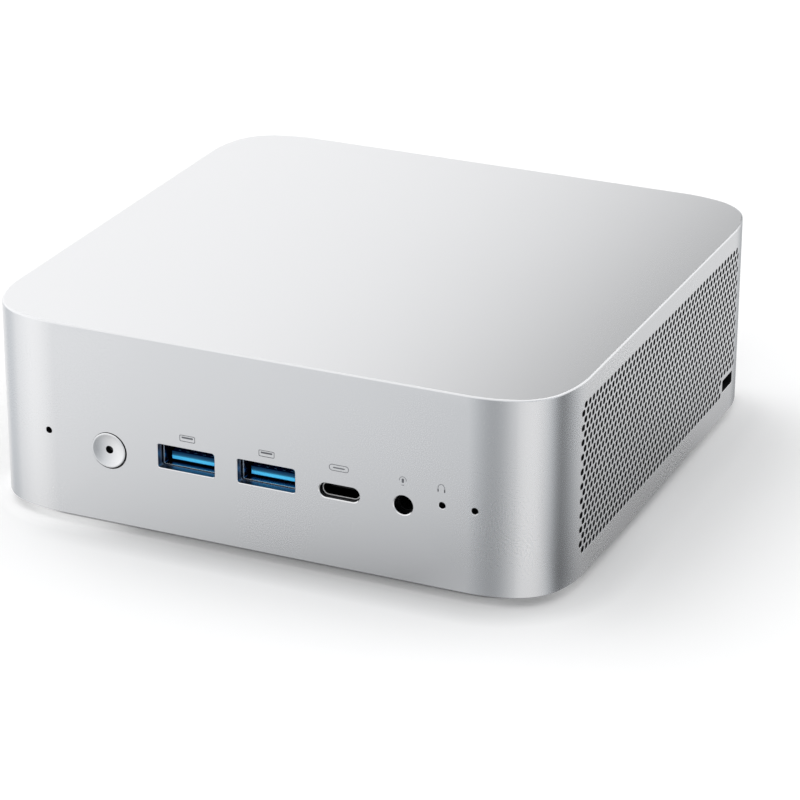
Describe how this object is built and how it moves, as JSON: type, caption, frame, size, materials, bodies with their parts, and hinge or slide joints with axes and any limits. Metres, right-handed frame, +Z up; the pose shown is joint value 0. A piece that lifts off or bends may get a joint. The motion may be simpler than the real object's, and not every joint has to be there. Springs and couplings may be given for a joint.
{
  "type": "mini pc",
  "caption": "Small square desktop computer in a one-piece aluminium shell, with drilled side grilles, front and rear ports, a blower cooler and a push power button.",
  "frame": {"origin": "on the table under the middle of the case, level with the bottoms of the feet", "axes": "+Z up, -Y is the front with the power button, +X is on the right of someone facing the front"},
  "size_m": [0.135, 0.1324, 0.0469],
  "materials": {
    "shell_aluminium": "bead-blasted, clear anodised",
    "cover_plastic": "fine moulded texture",
    "panel_plastic": "fine moulded texture",
    "foot_rubber": "matt",
    "black_steel": "black screw finish",
    "insert_brass": "turned",
    "standoff_brass": "turned",
    "board_green": "solder-masked laminate",
    "choke_ferrite": "moulded ferrite",
    "capacitor_can": "drawn can",
    "chip_epoxy": "moulded epoxy",
    "package_laminate": "laminate",
    "die_silicon": "polished silicon",
    "copper": "copper, milled and flattened",
    "spring_steel": "stamped",
    "fin_aluminium": "thin sheet",
    "fan_plastic": "glass-filled plastic",
    "fan_lid_steel": "stamped sheet",
    "screw_steel": "zinc plated",
    "bearing_bronze": "sintered bronze",
    "coil_lacquer": "lacquered windings",
    "magnet_ferrite": "bonded ferrite",
    "shaft_steel": "ground",
    "socket_plastic": "moulded",
    "module_laminate": "solder-masked laminate",
    "spreader_aluminium": "grey anodised",
    "shield_tin": "tinned can",
    "antenna_film": "flexible circuit",
    "lead_jacket": "coaxial jacket",
    "cell_steel": "nickel-plated",
    "port_steel": "nickel-plated shell",
    "tongue_blue": "moulded",
    "contact_gold": "gold-plated",
    "tongue_black": "moulded",
    "jack_black": "moulded",
    "button_aluminium": "turned, anodised",
    "light_pipe": "smoked acrylic",
    "switch_plastic": "moulded",
    "plunger_plastic": "moulded",
    "mic_rubber": "boot",
    "pin_steel": "plated pin"
  },
  "bodies": {
    "case": {"housing": "shell_aluminium", "bottom_cover": "cover_plastic", "rubber_feet": "foot_rubber", "cover_screws": "black_steel", "bracket_inserts": "insert_brass", "rear_panel": "panel_plastic", "standoffs": "standoff_brass", "motherboard": "board_green", "chokes": "choke_ferrite", "capacitors": "capacitor_can", "board_chips": "chip_epoxy", "cpu_package": "package_laminate", "cpu_die": "die_silicon", "cold_plate": "copper", "cooler_springs": "spring_steel", "cooler_backplate": "spring_steel", "cooler_screws": "screw_steel", "heat_pipes": "copper", "fin_stack": "fin_aluminium", "fan_tray": "fan_plastic", "fan_lid": "fan_lid_steel", "fan_bearing": "bearing_bronze", "fan_stator": "coil_lacquer", "memory_sockets": "socket_plastic", "memory_boards": "module_laminate", "memory_chips": "chip_epoxy", "card_sockets": "socket_plastic", "card_standoffs": "standoff_brass", "small_screws": "screw_steel", "ssd_board": "module_laminate", "ssd_chips": "chip_epoxy", "ssd_heat_spreader": "spreader_aluminium", "radio_board": "module_laminate", "radio_shield": "shield_tin", "antennas": "antenna_film", "antenna_leads": "lead_jacket", "coin_cell": "cell_steel", "coin_cell_holder": "socket_plastic", "front_usb_a_shells": "port_steel", "usb_a_tongues": "tongue_blue", "front_usb_a_contacts": "contact_gold", "usb_c_shells": "port_steel", "usb_c_tongues": "tongue_black", "audio_jack": "jack_black", "power_switch": "switch_plastic", "reset_switch": "switch_plastic", "microphones": "mic_rubber", "dc_inlet": "jack_black", "dc_inlet_pin": "pin_steel", "hdmi_shells": "port_steel", "hdmi_tongues": "tongue_black", "network_jacks": "port_steel", "rear_usb_a_shells": "port_steel"},
    "power_button": {"power_button": "button_aluminium", "button_light_pipe": "light_pipe"},
    "power_plunger": {"power_switch_plunger": "plunger_plastic"},
    "reset_plunger": {"reset_switch_plunger": "plunger_plastic"},
    "impeller": {"fan_impeller": "fan_plastic", "fan_magnet": "magnet_ferrite", "fan_shaft": "shaft_steel"}
  },
  "joints": [
    {"name": "power_button_press", "type": "slide", "parent": "case", "child": "power_button", "axis": [0, 1, 0], "range_m": [0, 0.0003], "stiffness_N_per_m": 2000, "springref_m": -0.0002},
    {"name": "power_plunger_press", "type": "slide", "parent": "case", "child": "power_plunger", "axis": [0, 1, 0], "range_m": [0, 0.0003]},
    {"name": "reset_plunger_press", "type": "slide", "parent": "case", "child": "reset_plunger", "axis": [0, 1, 0], "range_m": [0, 0.00025], "stiffness_N_per_m": 2000, "springref_m": -0.0002},
    {"name": "impeller_spin", "type": "hinge", "parent": "case", "child": "impeller", "pos_m": [0, 0, 0.037], "axis": [0, 0, 1], "continuous": true}
  ],
  "couplings": [
    {"joint": "power_plunger_press", "follows": "power_button_press", "ratio": 1}
  ]
}
